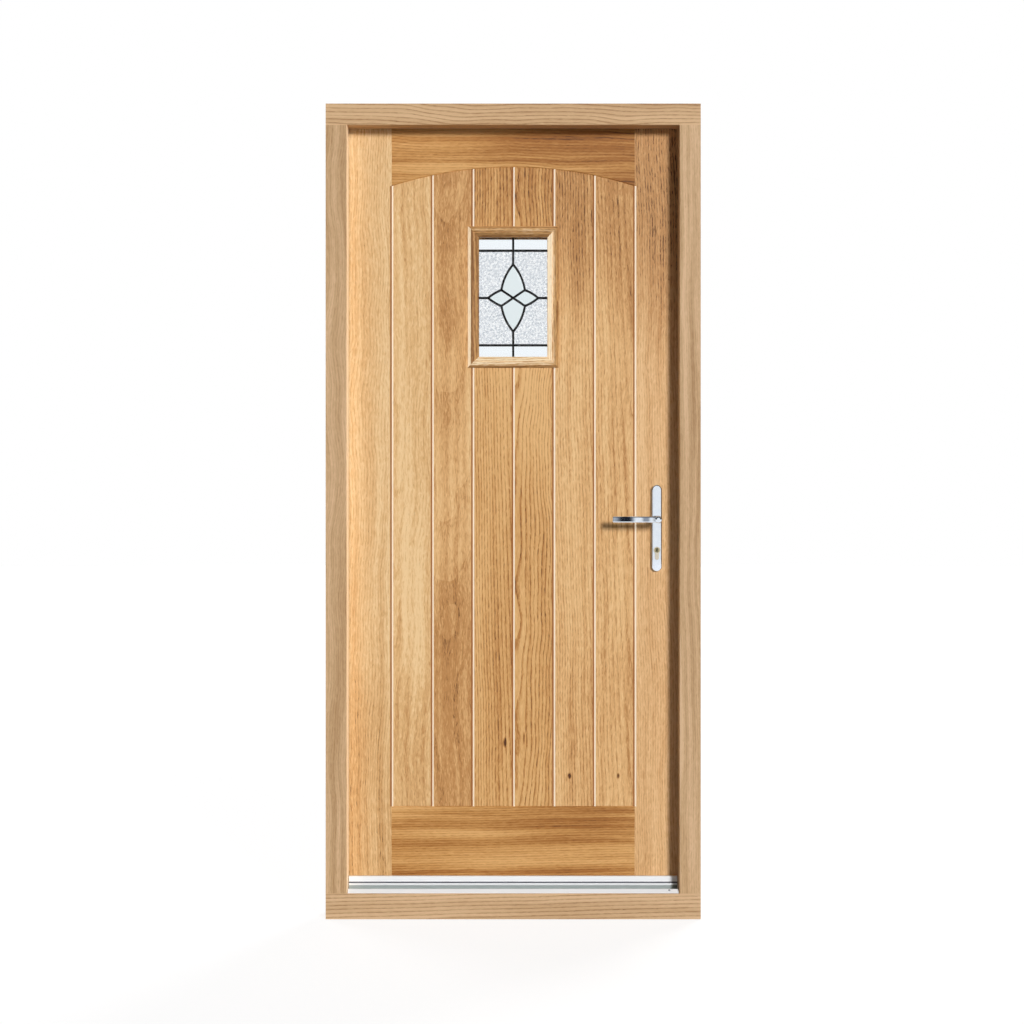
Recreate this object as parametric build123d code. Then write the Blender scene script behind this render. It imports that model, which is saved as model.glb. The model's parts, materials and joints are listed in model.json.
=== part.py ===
from build123d import *
import os
from math import acos, cos, pi, radians, sin, sqrt, tan

# An oak front door that opens inwards, hung in its frame. Sizes are millimetres, with Z up.
# The outside looks along -Y, and +X is on the right for someone who stands outside.
# The origin is the middle of the sill's underside.

# Frame
frame_width = 945
frame_height = 2055
stop_depth = 46
frame_face = 54
sill_height = 65
rebate_step = 12
arris = 2.5
tenon_thickness = 30
tenon_width = 26
tenon_length = 30
tenon_setback = 10
joint_slack = 0.2
fixing_hole_radius = 4.2
fixing_from_bottom = 150
fixing_from_top = 145
fixing_middle_spacing = 680

# Leaf
leaf_thickness = 44
leaf_gap = 3
seal_gap = 4
stile_width = 118
bottom_rail_height = 202
arch_crown_drop = 105
arch_radius = 1010
board_count = 6
tongue_thickness = 10
tongue_length = 9
tongue_slack = 0.4
v_depth = 4.5
rail_bevel = 1.5
rail_tenon_thickness = 14
rail_tenon_length = 55
rail_tenon_height = 56
rail_tenon_shoulder = 25

# Threshold
threshold_base = 3
floor_gap = 6
upstand_height = 36
upstand_thickness = 8
upstand_face = 14
drip_groove = 3.2
rib_height = 5
rib_reach = 4
apron_start = 1.5
apron_height = 9.2
apron_run = 8.5
apron_lip = 2
channel_floor = 4
extrusion_wall = 1.8
upstand_round = 1.5
seal_slot_drop = 5.5
seal_slot_size = 3
threshold_setback = 3
threshold_slack = 1.5

# Seals
seal_stem = 2.8
seal_stem_depth = 6.5
seal_groove = 3
seal_groove_depth = 7
seal_width = 10
seal_flange = 1.2
seal_fit = 0.2
running_gap = 0.3

# Window
window_drop = 436.5
sight_width = 175
sight_height = 304
bead_width = 28
bead_proud = 9.5
bead_tail = 17.7
bead_slope = 11.5
bead_slope_rise = 9
bead_quirk = 2.7
bead_quirk_depth = 1.4
bead_flat = 8.3
bead_rim = 1.2
bead_rim_height = 3.4
glass_edge_cover = 15
pane_thickness = 4
panel_thickness = 6
spacer_thickness = 5
spacer_width = 8
came_width = 5.6
came_core = 1.6
came_flange = 0.9
panel_glass = 4
glass_bevel_width = 5
glass_bevel_depth = 1.3
border_line = 121
star_apex = 85.6
star_side = 64
star_corner_x = 30
star_corner_z = 20.3
petal_bow = 5
diamond_bow = 1.8

# Hinges
hinge_from_bottom = 225
hinge_from_top = 200
hinge_height = 100
hinge_width = 30
hinge_flap = 2.7
knuckle_radius = 6.5
knuckle_stand_off = 0.5
pin_radius = 4
pin_fit = 0.06
pin_button = 3

# Lock
lock_backset = 62
spindle_z = 1007
cylinder_drop = 78
cylinder_screw_drop = 20.7
faceplate_width = 20
faceplate_thickness = 3
faceplate_from_bottom = 86
faceplate_from_top = 90
lock_thickness = 16
case_depth = 82.7
case_below_cylinder = 31
case_above_spindle = 63
case_wall = 1.5
hook_case_depth = 23
hook_case_below = 52
hook_case_above = 28
case_gap = 0.4
strip_thickness = 3
strip_travel = 20
strip_below_hook = 60
strip_above_hook = 80
bolt_thickness = 11
bolt_slack = 0.3
latch_throw = 11
latch_height = 20
latch_rise = 23
latch_tail = 14
latch_step = 10
latch_shoulder = 38
deadbolt_height = 35
deadbolt_throw = 20
deadbolt_rise = 38.5
deadbolt_tail = 19.5
deadbolt_chamfer = 0.8
follower_radius = 10
follower_finger = 16
finger_width = 6
spindle_side = 8
journal_fit = 0.08
cam_radius = 15.5
cam_width = 10
plug_radius = 6.43
plug_fit = 0.07
key_slot = (2.4, 8, 22)
cylinder_proud = 1.5
euro_height = 33
euro_foot_radius = 5
euro_head_radius = 8.5
hook_from_bottom = 366
hook_from_top = 390
hook_pivot_depth = 19.5
hook_thickness = 8
hook_hub_radius = 9
hook_pin_radius = 4
hook_reach = 37
hook_claw = 14
hook_arm = 8
hook_tip = 8.5
hook_sweep = (38.5, 8)
hook_side_gap = 0.6
pinion_teeth = 16
pinion_thickness = 2.2
pressure_angle = 20
tooth_height = 1.1
tooth_root = 1.35
tooth_backlash = 0.35
keep_thickness = 3
keep_width = 20
keep_margin = 40
keep_hole_slack = 0.6
keep_lip_margin = 8
hook_keep_span = (58, 34)
hook_keep_hole = (34.5, 8)

# Handles
plate_height = 220
plate_width = 25.5
plate_thickness = 9
plate_wall = 2.2
plate_boss = 2.2
plate_centre_z = 985
plate_round = 2.5
handle_screw_spacing = 196
lever_length = 115.5
lever_reach = 50
lever_height = 16
lever_depth = 9
lever_crest = 42
lever_fall = 4
lever_edge = 3
journal_radius = 7.5
neck_radius = 9.5
neck_round = 5
journal_end = 0.5
lever_bore = 14
spindle_slack = 0.1

# Machine screws as shank radius, head radius and length
handle_screw = (2.5, 4.6, leaf_thickness + 2 * plate_thickness - 4)
cylinder_screw_size = (2.5, 4.5, 65)
screw_slack = 0.05

# Planes and places that follow from those sizes
frame_depth = stop_depth + seal_gap + leaf_thickness
outside_y = -frame_depth / 2
inside_y = frame_depth / 2
leaf_y = (inside_y - leaf_thickness, inside_y)
stop_y = leaf_y[0] - seal_gap
mid_y = sum(leaf_y) / 2
opening_x = frame_width / 2 - frame_face
rebate_x = opening_x + rebate_step
head_z = frame_height - frame_face
rebate_z = head_z + rebate_step
leaf_x = rebate_x - leaf_gap
leaf_z = (sill_height + threshold_base + floor_gap, rebate_z - leaf_gap)
fixing_ends = (fixing_from_bottom, frame_height - fixing_from_top)
fixing_middle = sum(fixing_ends) / 2
fixing_inner = (fixing_middle - fixing_middle_spacing / 2, fixing_middle + fixing_middle_spacing / 2)
panel_x = leaf_x - stile_width
board_pitch = 2 * panel_x / board_count
rail_z = leaf_z[0] + bottom_rail_height
arch_centre_z = leaf_z[1] - arch_crown_drop - arch_radius
springing_z = arch_centre_z + sqrt(arch_radius**2 - panel_x**2)
threshold_z = sill_height + threshold_base
upstand_z = sill_height + upstand_height
window_z = leaf_z[1] - window_drop
sight = (sight_width / 2, sight_height / 2)
aperture = (sight[0] + bead_tail + running_gap, sight[1] + bead_tail + running_gap)
glass_half = (sight[0] + glass_edge_cover, sight[1] + glass_edge_cover)
glazing_depth = 2 * pane_thickness + 2 * spacer_thickness + panel_thickness
glazing_y = (mid_y - glazing_depth / 2, mid_y + glazing_depth / 2)
panel_y = (mid_y - panel_thickness / 2, mid_y + panel_thickness / 2)
spindle_x = leaf_x - lock_backset
cylinder_z = spindle_z - cylinder_drop
faceplate_x = leaf_x - faceplate_thickness
strip_x = (faceplate_x - case_gap - strip_thickness, faceplate_x - case_gap)
case_front_x = strip_x[0] - case_gap
case_x = (case_front_x - case_depth, case_front_x)
case_z = (cylinder_z - case_below_cylinder, spindle_z + case_above_spindle)
lock_y = (mid_y - lock_thickness / 2, mid_y + lock_thickness / 2)
bolt_y = (mid_y - bolt_thickness / 2, mid_y + bolt_thickness / 2)
latch_z = (spindle_z + latch_rise - latch_height / 2, spindle_z + latch_rise + latch_height / 2)
deadbolt_z = (
    cylinder_z + deadbolt_rise - deadbolt_height / 2,
    cylinder_z + deadbolt_rise + deadbolt_height / 2,
)
hook_centres = (leaf_z[0] + hook_from_bottom, leaf_z[1] - hook_from_top)
strip_z = (hook_centres[0] - strip_below_hook, hook_centres[1] + strip_above_hook)
faceplate_z = (leaf_z[0] + faceplate_from_bottom, leaf_z[1] - faceplate_from_top)
hook_x = leaf_x - hook_pivot_depth
tooth_pitch = strip_travel * 4 / pinion_teeth
pinion_radius = pinion_teeth * tooth_pitch / (2 * pi)
rack_line = hook_x + pinion_radius
pocket_x = leaf_x + deadbolt_throw + 2
hinge_ends = (leaf_z[0] + hinge_from_bottom, leaf_z[1] - hinge_from_top)
hinge_centres = (hinge_ends[0], sum(hinge_ends) / 2, hinge_ends[1])
hinge_pin_x = -(leaf_x + rebate_x) / 2
hinge_pin_y = inside_y + knuckle_stand_off + knuckle_radius
far = 5000
low = (Align.CENTER, Align.CENTER, Align.MIN)


def block(x, y, z):
    """A box between its (low, high) limits along each axis."""
    sizes = [abs(span[1] - span[0]) for span in (x, y, z)]
    return Pos(min(x), min(y), min(z)) * Box(*sizes, align=Align.MIN)


def outline(points):
    """A flat face with straight sides through the points."""
    return make_face(Polyline(*points, close=True))


def along_x(face, x0, x1):
    """A section drawn in Y and Z, run from x0 to x1."""
    return extrude(Plane.YZ.offset(x0) * face, x1 - x0)


def along_z(face, z0, z1):
    """A section drawn in X and Y, run from z0 to z1."""
    return extrude(Plane.XY.offset(z0) * face, z1 - z0)


def through_leaf(face, y0, y1):
    """A shape drawn in X and Z, as seen from outside, run from y0 to y1."""
    front = Plane(origin=(0, y0, 0), x_dir=(1, 0, 0), z_dir=(0, -1, 0))
    return extrude(front * face, y0 - y1)


def rod(start, end, radius):
    """A round bar between two points."""
    run = Vector(*end) - Vector(*start)
    return Plane(origin=start, z_dir=run) * Cylinder(radius, run.length, align=low)


def cross_rod(x, z, y, radius):
    """A round bar through the leaf, between its two limits in Y."""
    return rod((x, y[0], z), (x, y[1], z), radius)


def screw(at, direction, size, slack=0):
    """A countersunk screw with its head flush at a point, or its hole when slack is given."""
    shank, head, length = size
    body = Cylinder(shank + slack, length + slack, align=low)
    cone = Cone(head + slack, shank + slack, head - shank, align=low)
    return Plane(origin=at, z_dir=direction) * (body + cone)


def round_corner(face, u, v, radius):
    """Rounds the corner of a flat face that lies nearest to a point."""
    corner = face.vertices().sort_by(lambda p: (p.X - u) ** 2 + (p.Y - v) ** 2)[0]
    return fillet(corner, radius)


def save(name, solids):
    """Writes one piece, or one group of like pieces, under its own name."""
    group = solids if isinstance(solids, list) else [solids]
    pieces = [solid for item in group for solid in item.solids()]
    shape = pieces[0] if len(pieces) == 1 else Compound(children=pieces)
    export_step(shape, f"parts/{name}.step")


# Frame: L-shaped jambs and head, whose step makes the stop that the leaf closes against


def tenon(side, z0, z1, slack=0):
    """A jamb's tenon, or its mortise when slack is given."""
    x0 = side * (frame_width / 2 - tenon_setback + slack)
    x1 = side * (frame_width / 2 - tenon_setback - tenon_width - slack)
    half = tenon_thickness / 2 + slack
    return block((x0, x1), (-half, half), (z0, z1))


def seal_slot(side):
    """The groove for a jamb's weather seal, in the face of the stop."""
    middle = side * (opening_x + rebate_x) / 2
    across = (middle - seal_groove / 2, middle + seal_groove / 2)
    return block(across, (stop_y - seal_groove_depth, stop_y), (threshold_z, rebate_z))


def fixing_holes(side):
    """Holes behind the leaf's edge, where the frame is screwed to a wall."""
    y = (stop_y + inside_y) / 2
    inner, outer = side * rebate_x, side * frame_width / 2
    return [rod((inner, y, z), (outer, y, z), fixing_hole_radius) for z in (*fixing_ends, *fixing_inner)]


def jamb(side):
    outer = side * frame_width / 2
    inner = side * opening_x
    back = side * rebate_x
    section = outline([
        (outer, outside_y), (inner, outside_y), (inner, stop_y),
        (back, stop_y), (back, inside_y), (outer, inside_y),
    ])
    section = round_corner(section, inner, outside_y, arris)
    body = along_z(section, sill_height, head_z)
    body += block((outer, back), (stop_y, inside_y), (head_z, rebate_z))
    body += tenon(side, head_z - 1, rebate_z + tenon_length)
    body += tenon(side, sill_height - tenon_length, sill_height + 1)
    return body - seal_slot(side) - fixing_holes(side)


def hinge_jamb():
    body = jamb(-1)
    for z in hinge_centres:
        body -= flap_recess(z, -rebate_x - hinge_flap, -rebate_x)
    return body


def lock_jamb():
    body = jamb(1)
    for plate in (centre_keep_body(), *hook_keep_bodies()):
        body -= plate
    for z0, z1 in keep_openings():
        body -= block((rebate_x, pocket_x), (bolt_y[0] - 1, bolt_y[1] + 1), (z0, z1))
    return body


def cross_member(z_face, z_back, z_outer):
    """Head or sill blank: its arris is rounded only between the jambs."""
    step = [] if z_face == z_back else [(stop_y, z_face), (stop_y, z_back)]
    section = outline([
        (outside_y, z_face), *step, (inside_y, z_back), (inside_y, z_outer), (outside_y, z_outer),
    ])
    rounded = round_corner(section, outside_y, z_face, arris)
    body = along_x(rounded, -opening_x, opening_x)
    body += along_x(section, -frame_width / 2, -opening_x)
    return body + along_x(section, opening_x, frame_width / 2)


def frame_head():
    body = cross_member(head_z, rebate_z, frame_height)
    for side in (-1, 1):
        body -= tenon(side, head_z, rebate_z + tenon_length + 1, joint_slack)
    middle = (head_z + rebate_z) / 2
    groove = (middle - seal_groove / 2, middle + seal_groove / 2)
    return body - block((-rebate_x, rebate_x), (stop_y - seal_groove_depth, stop_y), groove)


def oak_sill():
    body = cross_member(sill_height, sill_height, 0)
    for side in (-1, 1):
        body -= tenon(side, sill_height - tenon_length - 1, sill_height, joint_slack)
    return body


# Threshold: an aluminium extrusion with a sloping apron, a drain channel and an upstand


def threshold_slot_z():
    """The seal's slot in the back of the upstand."""
    top = upstand_z - seal_slot_drop
    return (top - seal_slot_size, top)


def threshold_bar():
    front = outside_y + apron_start
    lip = front + apron_run
    face = stop_y - upstand_thickness
    base, top, floor = sill_height, upstand_z, sill_height + channel_floor
    groove_top = top - upstand_face
    rib_top = groove_top - drip_groove
    rib_foot = rib_top - rib_height
    rib_y = face - rib_reach / 2
    slot_y = stop_y - seal_slot_size
    slot_z = threshold_slot_z()
    section = outline([
        (front, base), (lip, base + apron_height), (lip + apron_lip, base + apron_height),
        (lip + 1.5 * apron_lip, floor), (rib_y, floor), (rib_y, rib_foot), (face - rib_reach, rib_foot + 1),
        (face - rib_reach, rib_top), (face + drip_groove, rib_top), (face + drip_groove, groove_top),
        (face, groove_top), (face, top), (stop_y, top), (stop_y, slot_z[1]), (slot_y, slot_z[1]),
        (slot_y, slot_z[0]), (stop_y, slot_z[0]), (stop_y, threshold_z),
        (inside_y - threshold_setback, threshold_z), (inside_y - threshold_setback, base),
    ])
    section = round_corner(section, face, top, upstand_round)
    wall = extrusion_wall
    section -= outline([
        (front + 2 * wall, base), (lip + wall / 2, base + apron_height - 2 * wall),
        (lip + 2 * wall, floor - wall), (rib_y - wall, floor - wall), (rib_y - wall, base),
    ])
    section -= outline([
        (rib_y + wall, base), (rib_y + wall, rib_foot), (stop_y - wall, rib_foot), (stop_y - wall, base),
    ])
    return along_x(section, -opening_x + threshold_slack, opening_x - threshold_slack)


# Seals: a barbed stem in a groove and a soft bulb that the leaf closes against


def seal_section(along, bulb_end):
    """A seal's section about its middle, given how far the bulb stands out of the stop."""
    half = seal_width / 2
    bulb = Pos(along, 0) * Rectangle(seal_width, seal_flange, align=(Align.CENTER, Align.MIN))
    reach = half - seal_flange / 2
    dome = ThreePointArc((along - reach, seal_flange), (along, bulb_end), (along + reach, seal_flange))
    bulb += make_face([dome, Line(dome @ 1, dome @ 0)])
    stem = Pos(along, 0) * Rectangle(seal_stem, seal_stem_depth, align=(Align.CENTER, Align.MAX))
    return bulb + stem


def jamb_seal(side):
    middle = side * (opening_x + rebate_x) / 2
    section = Pos(0, stop_y) * seal_section(middle, seal_gap - running_gap)
    return along_z(section, threshold_z, head_z)


def head_seal():
    """Lies across the tops of the jamb seals, with its bulb towards the leaf."""
    middle = (head_z + rebate_z) / 2
    length = opening_x + rebate_x + seal_width
    section = seal_section(0, seal_gap - running_gap)
    place = Plane(origin=(-length / 2, stop_y, middle), x_dir=(0, 0, -1), z_dir=(1, 0, 0))
    return extrude(place * section, length)


def threshold_seal():
    """A square stem in the upstand's slot and a bulb that the leaf's foot closes against."""
    middle, half = sum(threshold_slot_z()) / 2, seal_width / 2
    bulb_y = stop_y + seal_gap - running_gap
    stem_y = stop_y - seal_slot_size + seal_fit
    low_z, high_z = threshold_slot_z()[0] + seal_fit, threshold_slot_z()[1] - seal_fit
    stem = outline([(stem_y, low_z), (stem_y, high_z), (stop_y, high_z), (stop_y, low_z)])
    dome = ThreePointArc((stop_y, middle - half), (bulb_y, middle), (stop_y, middle + half))
    face = stem + make_face([dome, Line(dome @ 1, dome @ 0)])
    return along_x(face, -opening_x + threshold_slack, opening_x - threshold_slack)


# Leaf: two stiles, an arched top rail and a bottom rail around six tongued boards


def arch_disc(radius, y0, y1, rim=0):
    """All that lies under the arch; a positive rim flares its two edges, a negative one bevels them."""
    disc = cross_rod(0, arch_centre_z, (y0, y1), radius)
    if rim < 0:
        return chamfer(disc.edges().filter_by(GeomType.CIRCLE), -rim)
    for y, way in ((y0, 1), (y1, -1)):
        if rim:
            flare = Cone(radius + rim, radius, rim, align=low)
            disc += Plane(origin=(0, y, arch_centre_z), z_dir=(0, way, 0)) * flare
    return disc


def tongue_band(growth=0):
    half = tongue_thickness / 2 + growth
    return (mid_y - half, mid_y + half)


def edge_joint(x, way, growth, z0, z1):
    """A tongue that points along way from x, or its groove when growth is given."""
    reach = x + way * (tongue_length + growth)
    return block((x, reach), tongue_band(growth / 2), (z0, z1))


def half_v(x, way, z0, z1):
    """The bevels, outside and inside, that make half of a V joint along a piece's edge."""
    cuts = []
    for y, inward in ((leaf_y[0], 1), (leaf_y[1], -1)):
        wedge = outline([(x, y), (x + way * v_depth, y), (x, y + inward * v_depth)])
        cuts.append(along_z(wedge, z0, z1))
    return cuts


def window_hole():
    return block((-aperture[0], aperture[0]), leaf_y, (window_z - aperture[1], window_z + aperture[1]))


def board(number):
    """Board number 0 stands at the hinge stile. Each has a groove on its left and a tongue on its right."""
    left = -panel_x + number * board_pitch
    right = left + board_pitch
    top = arch_centre_z + arch_radius
    body = block((left, right), leaf_y, (rail_z, top))
    for cut in (*half_v(left, 1, rail_z, top), *half_v(right, -1, rail_z, top)):
        body -= cut
    for y, inward in ((leaf_y[0], 1), (leaf_y[1], -1)):
        foot = outline([(y, rail_z), (y + inward * rail_bevel, rail_z), (y, rail_z + rail_bevel)])
        body -= along_x(foot, left, right)
    body = body & arch_disc(arch_radius - joint_slack, *leaf_y, -rail_bevel)
    ends = block((left, right), tongue_band(), (rail_z - tongue_length, top + tongue_length))
    body += ends & arch_disc(arch_radius + tongue_length, *tongue_band())
    side_tongue = edge_joint(right, 1, 0, rail_z, top)
    body += side_tongue & arch_disc(arch_radius, *tongue_band())
    body -= edge_joint(left, 1, tongue_slack, rail_z - far, top + far)
    return body - window_hole()


def rail_tenons(slack=0):
    """Tenons at both ends of the two rails, or their mortises when slack is given."""
    half = rail_tenon_thickness / 2 + slack
    tenons = []
    for side in (-1, 1):
        x = (side * (panel_x - 1), side * (panel_x + rail_tenon_length + slack))
        feet = [z - rail_tenon_shoulder - rail_tenon_height for z in (rail_z, leaf_z[1])]
        for z in (leaf_z[0] + rail_tenon_shoulder, *feet):
            heights = (z - slack, z + rail_tenon_height + slack)
            tenons.append(block(x, (mid_y - half, mid_y + half), heights))
    return tenons


def hinge_stile():
    body = block((-leaf_x, -panel_x), leaf_y, leaf_z)
    for cut in half_v(-panel_x, -1, rail_z, springing_z):
        body -= cut
    body += edge_joint(-panel_x, 1, 0, rail_z, springing_z - 1)
    for z in hinge_centres:
        body -= flap_recess(z, -leaf_x, -leaf_x + hinge_flap)
    return body - rail_tenons(joint_slack)


def lock_stile():
    body = block((panel_x, leaf_x), leaf_y, leaf_z)
    for cut in half_v(panel_x, 1, rail_z, springing_z):
        body -= cut
    body -= edge_joint(panel_x, 1, tongue_slack, rail_z - tongue_slack, springing_z)
    body -= rail_tenons(joint_slack)
    plate_y = (mid_y - faceplate_width / 2, mid_y + faceplate_width / 2)
    body -= block((faceplate_x, leaf_x), plate_y, faceplate_z)
    body -= block((case_front_x, faceplate_x), lock_y, (strip_z[0] - 1, strip_z[1] + strip_travel + 1))
    body -= block((case_x[0], case_x[1]), lock_y, case_z)
    for z in hook_centres:
        body -= block(hook_case_x(), lock_y, hook_case_z(z))
    body -= cross_rod(spindle_x, spindle_z, leaf_y, follower_radius + 1.5)
    body -= through_leaf(Pos(spindle_x, cylinder_z) * euro_profile(1), *leaf_y)
    for z in handle_screw_z():
        body -= cross_rod(spindle_x, z, leaf_y, handle_screw[0] + 0.5)
    return body


def top_rail():
    body = block((-panel_x, panel_x), leaf_y, (springing_z - 1, leaf_z[1]))
    body -= arch_disc(arch_radius, *leaf_y, rail_bevel)
    body -= arch_disc(arch_radius + tongue_length + tongue_slack, *tongue_band(tongue_slack / 2))
    return body + [t for t in rail_tenons() if t.center().Z > arch_centre_z]


def bottom_rail():
    body = block((-panel_x, panel_x), leaf_y, (leaf_z[0], rail_z))
    for y, inward in ((leaf_y[0], 1), (leaf_y[1], -1)):
        bevel = outline([(y, rail_z), (y + inward * rail_bevel, rail_z), (y, rail_z - rail_bevel)])
        body -= along_x(bevel, -panel_x, panel_x)
    depth = tongue_length + tongue_slack
    body -= block((-panel_x, panel_x), tongue_band(tongue_slack / 2), (rail_z - depth, rail_z))
    return body + [t for t in rail_tenons() if t.center().Z < rail_z]


# Window: mitred beads that lap over the leaf's face, and a sealed unit with a leaded panel


def bead_section(face_y, glass_y):
    """A bead's section in (distance out from the glass, Y): slope, quirk, flat and outer slope."""
    out = 1 if face_y > glass_y else -1
    proud = face_y + out * bead_proud
    slope_top = proud - out * 2
    flat_start = bead_slope + bead_quirk
    return outline([
        (0, glass_y), (0, slope_top - out * bead_slope_rise), (bead_slope, slope_top),
        (bead_slope + bead_quirk / 2, slope_top - out * bead_quirk_depth), (flat_start, slope_top + out),
        (flat_start + bead_rim, proud), (flat_start + bead_flat, proud),
        (bead_width - bead_rim, face_y + out * bead_rim_height),
        (bead_width, face_y + out * bead_rim_height / 2),
        (bead_width, face_y), (bead_tail, face_y), (bead_tail, glass_y),
    ])


def bead(away, face_y, glass_y):
    """One mitred bead; away points from the glass to its outer edge."""
    across = Vector(*away)
    half = sight[1] if away[0] else sight[0]
    reach = sight[0] if away[0] else sight[1]
    centre = Vector(0, 0, window_z) + across * reach
    stick_plane = Plane(origin=centre, x_dir=across, z_dir=across.cross(Vector(0, 1, 0)))
    stick = extrude(stick_plane * bead_section(face_y, glass_y), half + bead_width, both=True)
    mitre = outline([
        (0, half), (bead_width, half + bead_width), (bead_width, -half - bead_width), (0, -half),
    ])
    mitre_plane = Plane(origin=centre, x_dir=across, z_dir=(0, -1, 0))
    return stick & extrude(mitre_plane * mitre, far, both=True)


def beads(face_y, glass_y):
    ways = {"top": (0, 0, 1), "bottom": (0, 0, -1), "left": (-1, 0, 0), "right": (1, 0, 0)}
    return {name: bead(away, face_y, glass_y) for name, away in ways.items()}


def pane(y0, y1):
    half_x, half_z = glass_half
    return block((-half_x, half_x), (y0, y1), (window_z - half_z, window_z + half_z))


def spacer(y0, y1):
    """A hollow bar bent round between two panes."""
    half_x, half_z = glass_half
    outer = Rectangle(2 * half_x, 2 * half_z)
    inner = Rectangle(2 * (half_x - spacer_width), 2 * (half_z - spacer_width))
    return through_leaf(Pos(0, window_z) * (outer - inner), y0, y1)


def lead_lines():
    """The lead pattern about the window's middle: border bars and a four-pointed star."""
    half_x, half_z = glass_half
    x, z = star_corner_x, star_corner_z
    lines = [Line((-half_x, s * border_line), (half_x, s * border_line)) for s in (-1, 1)]
    for s in (-1, 1):
        lines.append(Line((0, s * star_apex), (0, s * half_z)))
        lines.append(Line((s * star_side, 0), (s * half_x, 0)))
        lines.append(Line((-x, -s * z), (x, s * z)))
        for t in (-1, 1):
            bow = s * t
            lines.append(SagittaArc((0, s * star_apex), (t * x, s * z), bow * petal_bow))
            lines.append(SagittaArc((t * x, s * z), (t * star_side, 0), bow * diamond_bow))
    return lines


def lattice(width):
    """The pattern drawn with bars of one width."""
    flat = Sketch()
    for line in lead_lines():
        flat += trace(line, width)
    for x, z in ((0, star_apex), (0, -star_apex), (star_side, 0), (-star_side, 0)):
        flat += Pos(x, z) * Circle(width / 2)
    for s in (-1, 1):
        for t in (-1, 1):
            flat += Pos(s * star_corner_x, t * star_corner_z) * Circle(width / 2)
    return flat & Rectangle(2 * glass_half[0], 2 * glass_half[1])


def came_lattice():
    """Lead bars with an H section: two flanges and the core between the pieces of glass."""
    flanges = Pos(0, window_z) * lattice(came_width)
    core = Pos(0, window_z) * lattice(came_core)
    y0, y1 = panel_y
    body = through_leaf(core, y0, y1)
    body += through_leaf(flanges, y0, y0 + came_flange)
    return body + through_leaf(flanges, y1 - came_flange, y1)


def panel_pieces():
    """The twelve pieces of the leaded panel, sorted by their kind of glass."""
    flat = Rectangle(2 * glass_half[0], 2 * glass_half[1]) - lattice(came_core + 0.2)
    kinds = {"border_glass": [], "textured_glass": [], "bevel_glass": []}
    y0 = mid_y - panel_glass / 2 + 0.05
    y1 = mid_y + panel_glass / 2 - 0.05
    for face in flat.faces():
        middle = face.center()
        piece = through_leaf(Pos(0, window_z) * face, y0, y1)
        if abs(middle.Y) > border_line:
            kinds["border_glass"].append(piece)
        elif abs(middle.X) < 1 or abs(middle.Y) < 1:
            front = piece.faces().sort_by(Axis.Y)[0]
            bevelled = chamfer(front.edges(), glass_bevel_width, glass_bevel_depth, reference=front)
            kinds["bevel_glass"].append(bevelled)
        else:
            kinds["textured_glass"].append(piece)
    return kinds


# Hinges: three butt hinges, let in flush, with five knuckles on a fixed pin


def flap_recess(z, x0, x1):
    return block((x0, x1), (inside_y - hinge_width, inside_y), (z - hinge_height / 2, z + hinge_height / 2))


def flap(z, x_wood, x_face, knuckles):
    """One flap and its share of the five knuckles."""
    bottom = z - hinge_height / 2
    step = hinge_height / 5
    pin = (hinge_pin_x, hinge_pin_y)
    body = block((x_wood, x_face), (inside_y - hinge_width, hinge_pin_y), (bottom, bottom + hinge_height))
    for n in knuckles:
        body += rod((*pin, bottom + n * step), (*pin, bottom + (n + 1) * step), knuckle_radius)
    knuckle_y = (hinge_pin_y - knuckle_radius - running_gap, hinge_pin_y)
    for n in set(range(5)) - set(knuckles):
        z0, z1 = bottom + n * step - running_gap, bottom + (n + 1) * step + running_gap
        body -= block((x_wood, x_face), knuckle_y, (z0, z1))
    return body - rod((*pin, z - far), (*pin, z + far), pin_radius + pin_fit)


def hinge_pin(z):
    """A plain pin with a shallow button at each end."""
    half = hinge_height / 2
    at = (hinge_pin_x, hinge_pin_y)
    pin = rod((*at, z - half), (*at, z + half), pin_radius)
    button = Cone(knuckle_radius - running_gap, pin_radius, pin_button, align=low)
    pin += Pos(*at, z + half) * button
    return pin + Pos(*at, z - half) * Rot(180, 0, 0) * button


# Lock: faceplate, hollow main case, two hook cases and the long strip that works the hooks


def hook_case_x():
    return (hook_x - hook_case_depth, case_front_x)


def hook_case_z(z):
    return (z - hook_case_below, z + hook_case_above)


def latch_opening(slack=bolt_slack):
    return (latch_z[0] - slack, latch_z[1] + slack)


def deadbolt_opening(slack=bolt_slack):
    return (deadbolt_z[0] - slack, deadbolt_z[1] + slack)


def hook_opening(z):
    """What a hook sweeps where it leaves the faceplate."""
    return (z - hook_sweep[0], z + hook_sweep[1])


def hook_keep_opening(z):
    """The keep's hole, whose upper edge the claw goes behind."""
    return (z - hook_keep_hole[0], z + hook_keep_hole[1])


def keep_openings():
    """Pockets in the jamb behind the keeps."""
    pockets = [(latch_z[0] - 1, latch_z[1] + 1), (deadbolt_z[0] - 1, deadbolt_z[1] + 1)]
    return pockets + [(z - 35.5, z + hook_claw + 3) for z in hook_centres]


def cylinder_screw(slack=0):
    """Holds the cylinder, from the faceplate into the bridge under its cam."""
    z = cylinder_z - cylinder_screw_drop
    return screw((leaf_x, mid_y, z), (-1, 0, 0), cylinder_screw_size, slack)


def lock_faceplate():
    half = faceplate_width / 2
    body = block((faceplate_x, leaf_x), (mid_y - half, mid_y + half), faceplate_z)
    across = (bolt_y[0] - bolt_slack, bolt_y[1] + bolt_slack)
    body -= block((faceplate_x, leaf_x), across, latch_opening())
    body -= block((faceplate_x, leaf_x), across, deadbolt_opening())
    for z in hook_centres:
        half = hook_thickness / 2 + hook_side_gap
        body -= block((faceplate_x, leaf_x), (mid_y - half, mid_y + half), hook_opening(z))
    return body - cylinder_screw(screw_slack)


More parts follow.
